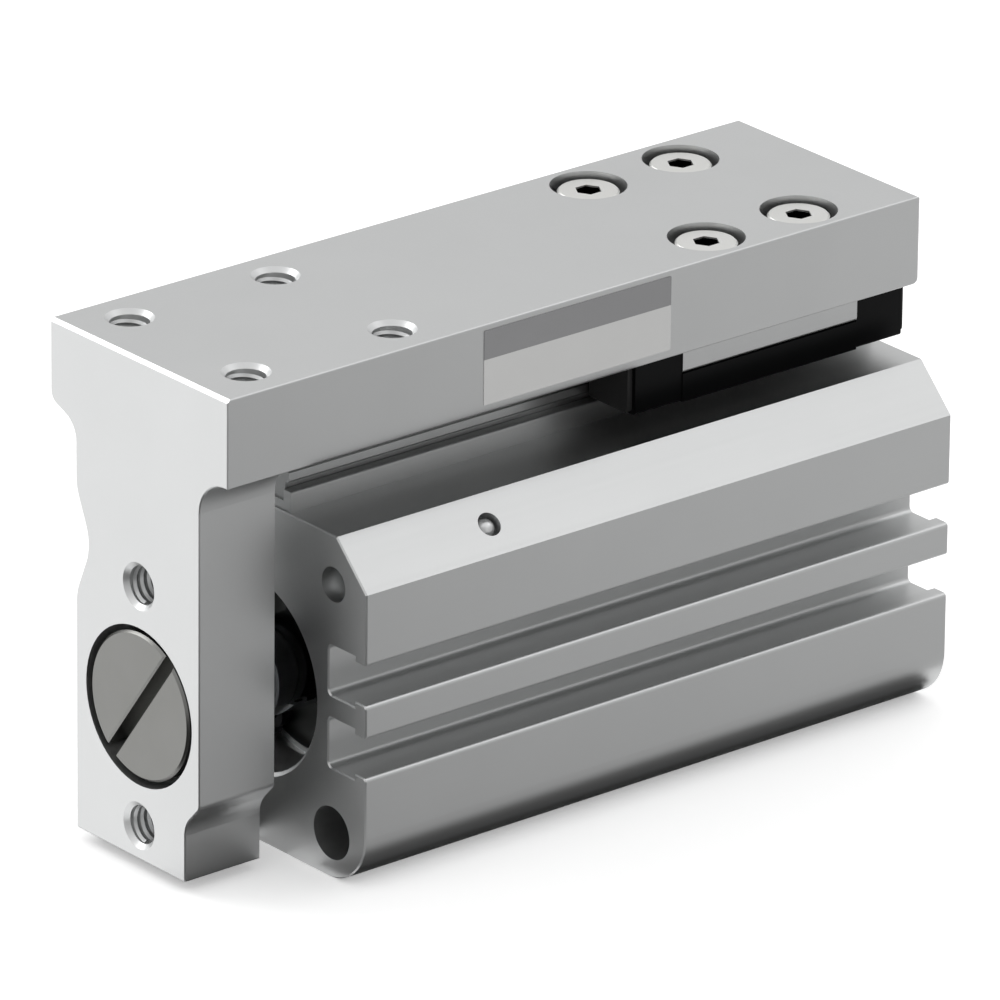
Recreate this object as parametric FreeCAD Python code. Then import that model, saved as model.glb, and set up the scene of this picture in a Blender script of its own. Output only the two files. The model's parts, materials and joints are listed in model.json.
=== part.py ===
import FreeCAD
import Part
import math
import os

from FreeCAD import Vector

# Compact air slide table, retracted.
# Millimetres. The origin is the middle of the body's bottom face.
# +X is the way the table extends, +Z is up.

# Driving dimensions: function
bore_diameter = 16.0
rod_diameter = 8.0
stroke = 20.0

# Driving dimensions: body
body_length = 62.5
body_width = 30.0
body_height = 30.0
axis_height = 14.5
body_top_chamfer = 3.85
body_bottom_radius = 4.8
body_edge_break = 0.12
cover_recess_diameter = 17.0
front_recess_depth = 12.65
rear_recess_depth = 5.8
recess_mouth_chamfer = 0.3

# Raised land on the body's top, with a seat for the rail's foot
land_half_width = 5.0
land_height = 1.8
land_end_inset = 0.25
land_edge_radius = 0.15
rail_seat_depth = 1.0

# Switch grooves in both long sides
groove_heights = (11.85, 18.2)
groove_floor_half_width = 10.2
groove_inner_height = 4.4
groove_mouth_height = 3.45
groove_lip_thickness = 1.45
groove_corner_radius = 0.5
groove_lip_radius = 0.35

# Through holes for fastening the body endwise, on one diagonal
end_hole_radius = 2.3
end_hole_y = 10.7
end_hole_rise = 10.95
end_hole_middle_height = 14.9

# Air ports and drilled passages, on the other diagonal
port_y = 10.8
port_rise = 10.8
port_middle_height = 14.95
port_radius = 2.1
port_depth = 5.5
passage_radius = 1.1
cross_drill_radius = 0.75
cross_drill_reach = 11.5
front_cross_drill_x = 16.95
rear_cross_drill_inset = 0.8
plug_seat_radius = 1.05
plug_seat_depth = 1.5
plug_ball_radius = 0.9
end_plug_seat_radius = 1.5
end_plug_seat_depth = 3.6
end_plug_ball_radius = 1.3

# Tapped holes, drawn at the tapping drill's size
m4_tap_radius = 1.65
tap_mouth_chamfer = 0.4
drill_point_angle = math.radians(118)
base_tap_spacing_x = 40.0
base_tap_spacing_y = 10.0
base_tap_depth = 5.0
table_tap_spacing_x = 15.0
table_tap_spacing_y = 15.0
table_tap_depth = 6.0
table_tap_front_inset = 5.0
plate_tap_spacing = 21.0

# Guide: miniature rail of 9 mm width with its block
rail_width = 9.0
rail_foot_width = 8.0
rail_height = 5.7
rail_head_gap = 0.6
rail_end_inset = 0.45
rail_top_chamfer = 0.5
rail_edge_radius = 0.2
rail_screw_pitch = 20.0
rail_screw_count = 3
block_height = 8.0
block_clearance_below = 0.2
block_width = 20.0
block_steel_length = 18.9
block_resin_length = 5.0
block_middle_x = -15.5
block_screw_pitch_x = 10.0
block_screw_pitch_y = 15.0
block_tap_depth = 4.5
block_side_step = 2.5
block_leg_thickness = 2.4
block_leg_inner = 5.2
block_leg_lift = 0.5
block_rail_gap = 0.4
block_edge_radius = 0.3
block_top_edge_radius = 0.4
ball_radius = 0.794
ball_track_radius = 0.83
ball_track_height = 3.2
ball_row_offset = 4.85
balls_per_row = 8
return_channel_radius = 0.85
return_strip_play = 0.05

# Resin end caps and rubber wipers of the block
cap_side_inset = 0.1
cap_top_inset = 0.2
cap_rail_gap_side = 0.6
cap_rail_gap_top = 0.6
cap_corner_radius = 0.8
cap_edge_radius = 0.3
wiper_thickness = 0.5
wiper_side_inset = 0.5
wiper_bottom_inset = 0.2
wiper_top_inset = 0.6
wiper_rail_gap = 0.15

# Table and end plate
table_width = 22.9
table_thickness = 7.7
table_web = 4.7
table_rear_inset = 0.8
table_rear_corner_radius = 0.3
table_rear_top_radius = 0.4
table_rear_foot_radius = 0.9
table_edge_break = 0.15
table_front_bevel = 0.3
table_underside_radius = 1.15
plate_edge_break = 0.1
plate_thickness = 7.7
plate_gap = 3.7
plate_left_reach = 8.2
plate_right_reach = 7.85
plate_foot_reach = 6.0
plate_bottom = 1.05
plate_fillet = 3.2
plate_shoulder_rise = 0.7
plate_shoulder_drop = 0.6
plate_shoulder_radius = 2.1
pocket_side_clearance = 0.05
pocket_front_gap = 1.0
pocket_corner_radius = 1.5

# Hollow and notch in the end plate, for the heads of the endwise bolts
hollow_middle_height = 26.5
hollow_half_height = 4.6
hollow_depth = 1.95
hollow_radius = 4.2
notch_height = 8.1
notch_drop = 2.0
notch_top_radius = 0.8
notch_foot_radius = 2.5

# Slotted shoulder screw in the end plate
rod_screw_head_radius = 6.35
rod_screw_head_recess = 0.05
rod_screw_head_height = 4.5
rod_screw_pocket_radius = 6.9
rod_screw_shoulder_radius = 3.0
rod_screw_shoulder_play = 0.1
rod_screw_hole_radius = 3.4
rod_screw_thread_radius = 2.5
rod_screw_thread_length = 10.0
rod_screw_edge_break = 0.2
rod_screw_slot_width = 1.2
rod_screw_slot_depth = 2.2
rod_screw_slot_bevel = 0.15
rod_screw_slot_angle = 53.5

# Small screws
m3_thread_radius = 1.5
m3_head_radius = 2.75
m3_head_height = 3.0
m3_low_head_height = 2.0
m3_socket = 2.5
m3_low_socket = 2.0
m3_hole_radius = 1.7
m3_rail_pocket_radius = 3.0
m3_rail_pocket_depth = 3.3
m3_table_pocket_radius = 3.25
m3_table_pocket_depth = 2.4
m3_rail_screw_grip = 4.5
m3_block_screw_length = 5.0
screw_edge_break = 0.3
socket_depth_share = 0.7
m2_thread_radius = 1.0
m2_hole_radius = 1.1
m2_head_radius = 1.6
m2_head_height = 0.7
m2_head_clearance = 0.1
m2_grip = 2.0
m2_tap_spare = 0.3
m2_slot_width = 0.5
m2_slot_depth = 0.35
cap_screw_y = 7.2
cap_screw_height = 6.6

# Seats and clearances
seat_clearance = 0.02
side_play = 0.05
cover_clearance = 0.03
rod_running_clearance = 0.03
bore_running_clearance = 0.06
ring_running_clearance = 0.03
stop_gap = 0.1

# Covers, seals and bumpers
bumper_thickness = 1.5
bumper_rod_clearance = 0.6
head_bumper_radius = 5.5
head_cover_thickness = 3.2
rod_cover_flange_length = 6.4
rod_cover_nose_radius = 6.6
rod_cover_rod_clearance = 0.25
rod_cover_front_wall = 1.0
rod_bush_radius = 5.0
rod_bush_length = 5.5
rod_bush_inset = 0.1
rod_seal_radius = 6.2
rod_seal_length = 2.7
rod_seal_lip = 0.4
rod_seal_lip_share = 0.45
rod_seal_bore_relief = 0.3
rod_seal_heel_relief = 0.15
o_ring_groove_width = 1.9
o_ring_section_radius = 0.6
retaining_ring_thickness = 1.0
retaining_ring_groove_radius = 9.0
retaining_ring_inner_radius = 7.35
retaining_ring_side_play = 0.1
retaining_ring_eye_radius = 1.3
retaining_ring_eye_circle = 7.1
retaining_ring_eye_angle = math.radians(30)
retaining_ring_eye_hole_radius = 0.6
retaining_ring_gap_angle = math.radians(24)

# Piston and rod
piston_length = 15.0
piston_edge_break = 0.4
piston_rear_land = 1.2
piston_middle_land = 1.0
piston_front_land = 1.4
wear_ring_width = 2.0
wear_ring_floor_radius = 7.0
wear_ring_split = 0.8
magnet_width = 4.4
magnet_floor_radius = 5.0
magnet_bore_clearance = 0.3
piston_seal_width = 2.4
piston_seal_floor_radius = 5.6
piston_seal_lip_width = 0.4
piston_seal_lip_bevel = 0.3
piston_seal_waist = 0.6
spigot_radius = 2.5
spigot_head_radius = 3.4
spigot_head_length = 1.0
spigot_head_inset = 0.4
rod_edge_break = 0.4
rod_tap_spare = 2.0
spanner_flats = 7.0
spanner_flat_length = 3.5

# Stations along X
front_face = body_length / 2
rear_face = -body_length / 2
front_step = front_face - front_recess_depth
rear_step = rear_face + rear_recess_depth
rear_cross_drill_x = rear_step + rear_cross_drill_inset
plate_back = front_face + plate_gap
plate_front = plate_back + plate_thickness
table_rear = rear_face + table_rear_inset
piston_rear = rear_step + bumper_thickness + stop_gap
piston_front = piston_rear + piston_length
rod_bumper_rear = piston_front + stroke + stop_gap
rod_cover_rear = rod_bumper_rear + bumper_thickness
rod_cover_front = front_step + rod_cover_flange_length
head_cover_rear = rear_step - head_cover_thickness
rod_screw_seat = plate_front - rod_screw_head_recess - rod_screw_head_height
rod_front = plate_back - rod_screw_shoulder_play
block_steel_front = block_middle_x + block_steel_length / 2
block_steel_rear = block_middle_x - block_steel_length / 2
front_cap_front = block_steel_front + block_resin_length
rear_cap_rear = block_steel_rear - block_resin_length

# Heights
land_top = body_height + land_height
rail_base = land_top - rail_seat_depth
rail_head_bottom = land_top + rail_head_gap
rail_top = rail_base + rail_height
ball_track_z = rail_base + ball_track_height
block_bottom = land_top + block_clearance_below
block_top = block_bottom + block_height
cap_screw_z = rail_base + cap_screw_height
table_top = block_top + table_web
table_bottom = table_top - table_thickness
shoulder_top = table_bottom + plate_shoulder_rise
shoulder_foot = table_bottom - plate_shoulder_drop

# Radii
bore_radius = bore_diameter / 2
rod_radius = rod_diameter / 2
recess_radius = cover_recess_diameter / 2
o_ring_groove_floor = recess_radius - 2 * (o_ring_section_radius + seat_clearance)

# How far a cutting tool runs past the face that it starts from
overshoot = 1.0


def box(x_from, x_to, y_from, y_to, z_from, z_to):
    """Block between two corners."""
    size = Vector(x_to - x_from, y_to - y_from, z_to - z_from)
    return Part.makeBox(size.x, size.y, size.z, Vector(x_from, y_from, z_from))


def bar_x(radius, x_from, x_to, y=0.0, z=axis_height):
    """Round bar along X."""
    return Part.makeCylinder(radius, x_to - x_from, Vector(x_from, y, z), Vector(1, 0, 0))


def bar_z(radius, z_from, z_to, x, y):
    """Round bar along Z."""
    return Part.makeCylinder(radius, z_to - z_from, Vector(x, y, z_from))


def rounded_face(corners, place):
    """Flat face with the given corners (u, v, radius), each rounded to its radius."""
    points = [place(u, v) for u, v, radius in corners]
    count = len(corners)
    ends = []
    for index in range(count):
        here = points[index]
        radius = corners[index][2]
        back = (points[index - 1] - here).normalize()
        ahead = (points[(index + 1) % count] - here).normalize()
        half = back.getAngle(ahead) / 2
        cut = radius / math.tan(half)
        bisector = (back + ahead).normalize()
        middle = here + bisector * (radius / math.sin(half) - radius)
        ends.append((here + back * cut, middle, here + ahead * cut, radius))
    edges = []
    for index in range(count):
        enter, middle, leave, radius = ends[index]
        if radius > 0:
            edges.append(Part.Arc(enter, middle, leave).toShape())
        edges.append(Part.makeLine(leave, ends[(index + 1) % count][0]))
    return Part.Face(Part.Wire(edges))


def profile_x(corners, x_from, x_to):
    """Outline in the YZ plane, drawn out along X."""
    face = rounded_face(corners, lambda y, z: Vector(x_from, y, z))
    return face.extrude(Vector(x_to - x_from, 0, 0))


def turned_x(stations, z=axis_height):
    """Solid of revolution about X from (x, radius) stations."""
    points = [Vector(x, 0, z + radius) for x, radius in stations]
    face = Part.Face(Part.makePolygon(points + points[:1]))
    return face.revolve(Vector(0, 0, z), Vector(1, 0, 0), 360)


def turned_z(stations, x, y):
    """Solid of revolution about an upright axis from (radius, z) stations."""
    points = [Vector(x + radius, y, z) for radius, z in stations]
    face = Part.Face(Part.makePolygon(points + points[:1]))
    return face.revolve(Vector(x, y, 0), Vector(0, 0, 1), 360)


def mouth_chamfer(mouth, inward, radius):
    """Cone that breaks the edge of a tapped hole, to be cut away."""
    return Part.makeCone(radius + tap_mouth_chamfer, radius, tap_mouth_chamfer, mouth, inward)


def drilled_hole(mouth, inward, radius, depth):
    """Blind hole with a drill point and a broken mouth, to be cut away."""
    point_height = radius / math.tan(drill_point_angle / 2)
    wall = Part.makeCylinder(radius, depth, mouth, inward)
    point = Part.makeCone(radius, 0, point_height, mouth + inward * depth, inward)
    return wall.fuse([point, mouth_chamfer(mouth, inward, radius)])


def hexagon_socket(across_flats, depth, x, y, top):
    """Hexagon recess below an upright screw's top, to be cut away."""
    corner_radius = across_flats / math.sqrt(3)
    middle = Vector(x, y, top - depth)
    corners = []
    for index in range(6):
        turn = math.radians(60 * index)
        corners.append(middle + Vector(math.cos(turn), math.sin(turn), 0) * corner_radius)
    face = Part.Face(Part.makePolygon(corners + corners[:1]))
    return face.extrude(Vector(0, 0, depth + overshoot))


def mirrored_outline(right_side):
    """Closed outline from its right-hand corners, listed bottom to top."""
    left_side = [(-y, z, radius) for y, z, radius in reversed(right_side)]
    return right_side + left_side


def edges_where(shape, test):
    """Edges whose every vertex passes the test."""
    return [edge for edge in shape.Edges if all(test(vertex.Point) for vertex in edge.Vertexes)]


def near(value, target):
    """True where a coordinate lies on a station."""
    return abs(value - target) < 1e-4


def body_outline():
    """Section of the extrusion: rounded foot, grooved sides, chamfered shoulders."""
    half_width = body_width / 2
    lip_depth = half_width - groove_lip_thickness
    mouth = groove_mouth_height / 2
    inner = groove_inner_height / 2
    right_side = [(half_width, 0.0, body_bottom_radius)]
    for height in groove_heights:
        right_side.append((half_width, height - mouth, groove_lip_radius))
        right_side.append((lip_depth, height - mouth, 0.0))
        right_side.append((lip_depth, height - inner, 0.0))
        right_side.append((groove_floor_half_width, height - inner, groove_corner_radius))
        right_side.append((groove_floor_half_width, height + inner, groove_corner_radius))
        right_side.append((lip_depth, height + inner, 0.0))
        right_side.append((lip_depth, height + mouth, 0.0))
        right_side.append((half_width, height + mouth, groove_lip_radius))
    right_side.append((half_width, body_height - body_top_chamfer, 0.0))
    right_side.append((half_width - body_top_chamfer, body_height, 0.0))
    return mirrored_outline(right_side)


def diagonal_pair(y, rise, middle):
    """The two places (y, z) of a diagonal pair of holes, first one on the +Y side."""
    return ((y, middle - rise), (-y, middle + rise))


def end_hole_places():
    """Endwise fastening holes: low on the +Y side, high on the -Y side."""
    return diagonal_pair(end_hole_y, end_hole_rise, end_hole_middle_height)


def port_places():
    """Air ports: high on the +Y side for the rod chamber, low on the -Y side for the head chamber."""
    return diagonal_pair(port_y, -port_rise, port_middle_height)


def front_cross_drill():
    """Start and direction of the drilling from the +Y chamfer to the rod chamber."""
    middle = body_top_chamfer / 2
    start = Vector(front_cross_drill_x, body_width / 2 - middle, body_height - middle)
    return start, Vector(0, -1, -1).normalize()


def rear_cross_drill():
    """Start and direction of the drilling from the rounded -Y foot to the head chamber."""
    inset = body_bottom_radius * (1 - math.sqrt(0.5))
    start = Vector(rear_cross_drill_x, -body_width / 2 + inset, inset)
    return start, Vector(0, 1, 1).normalize()


def plugged_drilling(start, inward):
    """Cross drilling with a wider seat for its plug ball, to be cut away."""
    hole = Part.makeCylinder(cross_drill_radius, cross_drill_reach, start, inward)
    seat_start = start - inward * overshoot
    seat = Part.makeCylinder(plug_seat_radius, plug_seat_depth + overshoot, seat_start, inward)
    return hole.fuse(seat)


def rectangle_places(spacing_x, spacing_y, middle_x):
    """The four places (x, y) of a rectangular hole pattern about the middle plane."""
    places = []
    for x in (middle_x + spacing_x / 2, middle_x - spacing_x / 2):
        for y in (-spacing_y / 2, spacing_y / 2):
            places.append((x, y))
    return places


def rail_screw_stations():
    """Places of the rail's screws along X."""
    first = -rail_screw_pitch * (rail_screw_count - 1) / 2
    return [first + rail_screw_pitch * index for index in range(rail_screw_count)]


def block_screw_places():
    """Places (x, y) of the screws that hold the table to the block."""
    return rectangle_places(block_screw_pitch_x, block_screw_pitch_y, block_middle_x)


def table_tap_places():
    """Places (x, y) of the tapped holes in the table's top."""
    middle_x = plate_front - table_tap_front_inset - table_tap_spacing_x / 2
    return rectangle_places(table_tap_spacing_x, table_tap_spacing_y, middle_x)


def stepped_bore():
    """Bore with a recess, a cover step and a retaining ring groove at each end, to be cut away."""
    mouth_radius = recess_radius + recess_mouth_chamfer
    ring_groove_width = retaining_ring_thickness + retaining_ring_side_play
    return turned_x([
        (rear_face - overshoot, 0.0),
        (rear_face - overshoot, mouth_radius),
        (rear_face, mouth_radius),
        (rear_face + recess_mouth_chamfer, recess_radius),
        (head_cover_rear - ring_groove_width, recess_radius),
        (head_cover_rear - ring_groove_width, retaining_ring_groove_radius),
        (head_cover_rear, retaining_ring_groove_radius),
        (head_cover_rear, recess_radius),
        (rear_step, recess_radius),
        (rear_step, bore_radius),
        (front_step, bore_radius),
        (front_step, recess_radius),
        (rod_cover_front, recess_radius),
        (rod_cover_front, retaining_ring_groove_radius),
        (rod_cover_front + ring_groove_width, retaining_ring_groove_radius),
        (rod_cover_front + ring_groove_width, recess_radius),
        (front_face - recess_mouth_chamfer, recess_radius),
        (front_face, mouth_radius),
        (front_face + overshoot, mouth_radius),
        (front_face + overshoot, 0.0),
    ])


def rail_land():
    """Raised land under the rail, sunk into the body's top."""
    return profile_x(mirrored_outline([
        (land_half_width, body_height - overshoot, 0.0),
        (land_half_width, land_top, land_edge_radius),
    ]), rear_face + land_end_inset, front_face - land_end_inset)


def rail_seat():
    """Room in the land for the rail's foot, to be cut away."""
    half = rail_foot_width / 2 + side_play
    return box(rear_face, front_face, -half, half, rail_base, land_top + overshoot)


def make_cylinder_body():
    """Extruded body with bore, cover recesses, rail seat, ports, passages and tapped holes."""
    body = profile_x(body_outline(), rear_face, front_face)
    end_edges = edges_where(body, lambda p: near(p.x, front_face))
    end_edges += edges_where(body, lambda p: near(p.x, rear_face))
    body = body.makeChamfer(body_edge_break, end_edges)
    body = body.fuse(rail_land()).removeSplitter()
    cuts = [stepped_bore(), rail_seat()]
    for y, z in end_hole_places():
        cuts.append(bar_x(end_hole_radius, rear_face - overshoot, front_face + overshoot, y, z))
    rod_port, head_port = port_places()
    for y, z in (rod_port, head_port):
        cuts.append(drilled_hole(Vector(rear_face, y, z), Vector(1, 0, 0), port_radius, port_depth))
    cuts.append(bar_x(passage_radius, rear_face + port_depth, front_face, *rod_port))
    seat_rear = front_face - end_plug_seat_depth
    cuts.append(bar_x(end_plug_seat_radius, seat_rear, front_face + overshoot, *rod_port))
    cuts.append(plugged_drilling(*front_cross_drill()))
    cuts.append(plugged_drilling(*rear_cross_drill()))
    for x, y in rectangle_places(base_tap_spacing_x, base_tap_spacing_y, 0.0):
        cuts.append(drilled_hole(Vector(x, y, 0), Vector(0, 0, 1), m4_tap_radius, base_tap_depth))
    screw_hole_radius = m3_thread_radius + seat_clearance
    screw_hole_bottom = rail_base - m3_rail_screw_grip - seat_clearance
    for x in rail_screw_stations():
        cuts.append(bar_z(screw_hole_radius, screw_hole_bottom, rail_base + overshoot, x, 0))
    return body.cut(cuts)


def make_passage_plug_balls():
    """Pressed balls that close the drilled passages."""
    balls = []
    for start, inward in (front_cross_drill(), rear_cross_drill()):
        lift = math.sqrt(plug_ball_radius ** 2 - cross_drill_radius ** 2) + seat_clearance
        balls.append(Part.makeSphere(plug_ball_radius, start + inward * (plug_seat_depth - lift)))
    y, z = port_places()[0]
    lift = math.sqrt(end_plug_ball_radius ** 2 - passage_radius ** 2) + seat_clearance
    middle = Vector(front_face - end_plug_seat_depth + lift, y, z)
    balls.append(Part.makeSphere(end_plug_ball_radius, middle))
    return Part.makeCompound(balls)


def make_guide_rail():
    """Rail with a narrower foot, a ball track in each side and counterbored screw holes."""
    half_foot = rail_foot_width / 2
    half_width = rail_width / 2
    front = front_face - rail_end_inset
    rear = rear_face + rail_end_inset
    rail = profile_x(mirrored_outline([
        (half_foot, rail_base, rail_edge_radius),
        (half_foot, rail_head_bottom, 0.0),
        (half_width, rail_head_bottom, rail_edge_radius),
        (half_width, rail_top - rail_top_chamfer, 0.0),
        (half_width - rail_top_chamfer, rail_top, 0.0),
    ]), rear, front)
    cuts = []
    for side in (-1, 1):
        cuts.append(bar_x(ball_track_radius, rear, front, side * ball_row_offset, ball_track_z))
    pocket_floor = rail_top - m3_rail_pocket_depth
    for x in rail_screw_stations():
        cuts.append(bar_z(m3_hole_radius, rail_base, rail_top, x, 0))
        cuts.append(bar_z(m3_rail_pocket_radius, pocket_floor, rail_top, x, 0))
    return rail.cut(cuts)


def socket_screw(x, y, seat, length, head_height, socket):
    """Upright socket-head screw, its head resting at seat height."""
    top = seat + head_height
    tip = seat - length
    screw = turned_z([
        (0.0, tip),
        (m3_thread_radius - screw_edge_break, tip),
        (m3_thread_radius, tip + screw_edge_break),
        (m3_thread_radius, seat),
        (m3_head_radius, seat),
        (m3_head_radius, top - screw_edge_break),
        (m3_head_radius - screw_edge_break, top),
        (0.0, top),
    ], x, y)
    return screw.cut(hexagon_socket(socket, head_height * socket_depth_share, x, y, top))


def make_rail_screws():
    """Screws that hold the rail to the body."""
    seat = rail_top - m3_rail_pocket_depth
    length = seat - rail_base + m3_rail_screw_grip
    screws = []
    for x in rail_screw_stations():
        screws.append(socket_screw(x, 0, seat, length, m3_head_height, m3_socket))
    return Part.makeCompound(screws)


def make_block_screws():
    """Low-head screws that hold the table to the block."""
    seat = table_top - m3_table_pocket_depth
    screws = []
    for x, y in block_screw_places():
        screws.append(socket_screw(x, y, seat, m3_block_screw_length, m3_low_head_height, m3_low_socket))
    return Part.makeCompound(screws)


def o_ring_groove(cover_end, step):
    """Rear and front station of the O-ring groove in the middle of a cover's flange."""
    middle = (cover_end + step) / 2
    return middle - o_ring_groove_width / 2, middle + o_ring_groove_width / 2


def make_rod_cover():
    """Cover at the rod end: flange against the body's step, nose into the rod chamber."""
    flange_radius = recess_radius - cover_clearance
    rod_hole = rod_radius + rod_cover_rod_clearance
    bush_seat = rod_bush_radius + seat_clearance
    bush_end = rod_cover_rear + rod_bush_inset + rod_bush_length + side_play
    gland_radius = rod_seal_radius + seat_clearance
    gland_front = rod_cover_front - rod_cover_front_wall
    gland_rear = gland_front - rod_seal_length - side_play
    groove_rear, groove_front = o_ring_groove(rod_cover_front, front_step)
    return turned_x([
        (rod_cover_rear, rod_cover_nose_radius),
        (front_step, rod_cover_nose_radius),
        (front_step, flange_radius),
        (groove_rear, flange_radius),
        (groove_rear, o_ring_groove_floor),
        (groove_front, o_ring_groove_floor),
        (groove_front, flange_radius),
        (rod_cover_front, flange_radius),
        (rod_cover_front, rod_hole),
        (gland_front, rod_hole),
        (gland_front, gland_radius),
        (gland_rear, gland_radius),
        (gland_rear, rod_hole),
        (bush_end, rod_hole),
        (bush_end, bush_seat),
        (rod_cover_rear, bush_seat),
    ])


def make_head_cover():
    """Plain cover that closes the head end."""
    flange_radius = recess_radius - cover_clearance
    groove_rear, groove_front = o_ring_groove(head_cover_rear, rear_step)
    return turned_x([
        (head_cover_rear, 0.0),
        (head_cover_rear, flange_radius),
        (groove_rear, flange_radius),
        (groove_rear, o_ring_groove_floor),
        (groove_front, o_ring_groove_floor),
        (groove_front, flange_radius),
        (rear_step, flange_radius),
        (rear_step, 0.0),
    ])


def o_ring(middle_x):
    """O-ring around a cover."""
    ring_radius = recess_radius - o_ring_section_radius - seat_clearance
    middle = Vector(middle_x, 0, axis_height)
    return Part.makeTorus(ring_radius, o_ring_section_radius, middle, Vector(1, 0, 0))


def make_rod_cover_o_ring():
    """O-ring in the rod cover's flange."""
    return o_ring((front_step + rod_cover_front) / 2)


def make_head_cover_o_ring():
    """O-ring in the head cover's flange."""
    return o_ring((rear_step + head_cover_rear) / 2)


def make_rod_bush():
    """Plain bush that guides the rod."""
    rear = rod_cover_rear + rod_bush_inset
    front = rear + rod_bush_length
    bore = rod_radius + rod_running_clearance
    return turned_x([(rear, bore), (front, bore), (front, rod_bush_radius), (rear, rod_bush_radius)])


def make_rod_seal():
    """Lip seal around the rod, its lips towards the pressure."""
    front = rod_cover_front - rod_cover_front_wall - side_play / 2
    rear = front - rod_seal_length
    bore = rod_radius + rod_running_clearance
    lip_root = rear + rod_seal_lip_share * rod_seal_length
    middle = (bore + rod_seal_radius) / 2
    return turned_x([
        (front, bore + rod_seal_bore_relief),
        (rear, bore),
        (rear, bore + rod_seal_lip),
        (lip_root, middle),
        (rear, rod_seal_radius - rod_seal_lip),
        (rear, rod_seal_radius),
        (front, rod_seal_radius - rod_seal_heel_relief),
    ])


def retaining_ring(rear):
    """Internal retaining ring with a gap at the bottom and an eye on each end."""
    front = rear + retaining_ring_thickness
    outer = retaining_ring_groove_radius - side_play
    ring = bar_x(outer, rear, front).cut(bar_x(retaining_ring_inner_radius, rear, front))
    reach_y = 2 * outer * math.sin(retaining_ring_gap_angle)
    reach_z = 2 * outer * math.cos(retaining_ring_gap_angle)
    gap_corners = [
        Vector(rear, 0, axis_height),
        Vector(rear, -reach_y, axis_height - reach_z),
        Vector(rear, reach_y, axis_height - reach_z),
    ]
    gap_face = Part.Face(Part.makePolygon(gap_corners + gap_corners[:1]))
    ring = ring.cut(gap_face.extrude(Vector(retaining_ring_thickness, 0, 0)))
    eyes = []
    holes = []
    for side in (-1, 1):
        y = side * retaining_ring_eye_circle * math.sin(retaining_ring_eye_angle)
        z = axis_height - retaining_ring_eye_circle * math.cos(retaining_ring_eye_angle)
        eyes.append(bar_x(retaining_ring_eye_radius, rear, front, y, z))
        holes.append(bar_x(retaining_ring_eye_hole_radius, rear, front, y, z))
    return ring.fuse(eyes).cut(holes).removeSplitter()


def make_rod_cover_retaining_ring():
    """Ring that holds the rod cover."""
    return retaining_ring(rod_cover_front)


def make_head_cover_retaining_ring():
    """Ring that holds the head cover."""
    return retaining_ring(head_cover_rear - retaining_ring_thickness)


def make_head_bumper():
    """Elastic pad on the head cover."""
    return bar_x(head_bumper_radius, rear_step, rear_step + bumper_thickness)


def make_rod_bumper():
    """Elastic ring on the rod cover's nose."""
    ring = bar_x(rod_cover_nose_radius, rod_bumper_rear, rod_cover_rear)
    return ring.cut(bar_x(rod_radius + bumper_rod_clearance, rod_bumper_rear, rod_cover_rear))


def wear_ring_groove():
    """Rear station, front station and floor radius of the wear ring's groove."""
    rear = piston_rear + piston_rear_land
    return rear, rear + wear_ring_width, wear_ring_floor_radius


def magnet_groove():
    """Rear station, front station and floor radius of the magnet's groove."""
    rear = wear_ring_groove()[1] + piston_middle_land
    return rear, rear + magnet_width, magnet_floor_radius


def piston_seal_groove():
    """Rear station, front station and floor radius of the seal's groove."""
    rear = magnet_groove()[1] + piston_front_land
    return rear, rear + piston_seal_width, piston_seal_floor_radius


def make_piston():
    """Piston with grooves for its rings, riveted to the rod."""
    radius = bore_radius - bore_running_clearance
    edge_radius = radius - piston_edge_break
    spigot_hole = spigot_radius + seat_clearance
    head_hole = spigot_head_radius + seat_clearance
    head_floor = piston_rear + spigot_head_inset + spigot_head_length
    stations = [
        (piston_rear, head_hole),
        (piston_rear, edge_radius),
        (piston_rear + piston_edge_break, radius),
    ]
    for rear, front, floor in (wear_ring_groove(), magnet_groove(), piston_seal_groove()):
        stations += [(rear, radius), (rear, floor), (front, floor), (front, radius)]
    stations += [
        (piston_front - piston_edge_break, radius),
        (piston_front, edge_radius),
        (piston_front, spigot_hole),
        (head_floor, spigot_hole),
        (head_floor, head_hole),
    ]
    return turned_x(stations)


def piston_ring(groove, outer_radius):
    """Plain ring that fills one of the piston's grooves up to a radius."""
    rear = groove[0] + side_play
    front = groove[1] - side_play
    inner_radius = groove[2] + seat_clearance
    return bar_x(outer_radius, rear, front).cut(bar_x(inner_radius, rear, front))


def make_wear_ring():
    """Split guide ring on the piston."""
    rear, front, floor = wear_ring_groove()
    half_split = wear_ring_split / 2
    split = box(rear, front, -half_split, half_split, axis_height, axis_height + bore_diameter)
    return piston_ring(wear_ring_groove(), bore_radius - ring_running_clearance).cut(split)


def make_piston_magnet():
    """Ring magnet that the switches in the side grooves sense."""
    return piston_ring(magnet_groove(), bore_radius - magnet_bore_clearance)


def make_piston_seal():
    """Double-acting piston seal with a lip to each side."""
    rear, front, floor = piston_seal_groove()
    inner = floor + seat_clearance
    outer = bore_radius - ring_running_clearance
    return turned_x([
        (rear + side_play, inner),
        (rear + side_play, outer - piston_seal_lip_bevel),
        (rear + piston_seal_lip_width, outer),
        ((rear + front) / 2, outer - piston_seal_waist),
        (front - piston_seal_lip_width, outer),
        (front - side_play, outer - piston_seal_lip_bevel),
        (front - side_play, inner),
    ])


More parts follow.
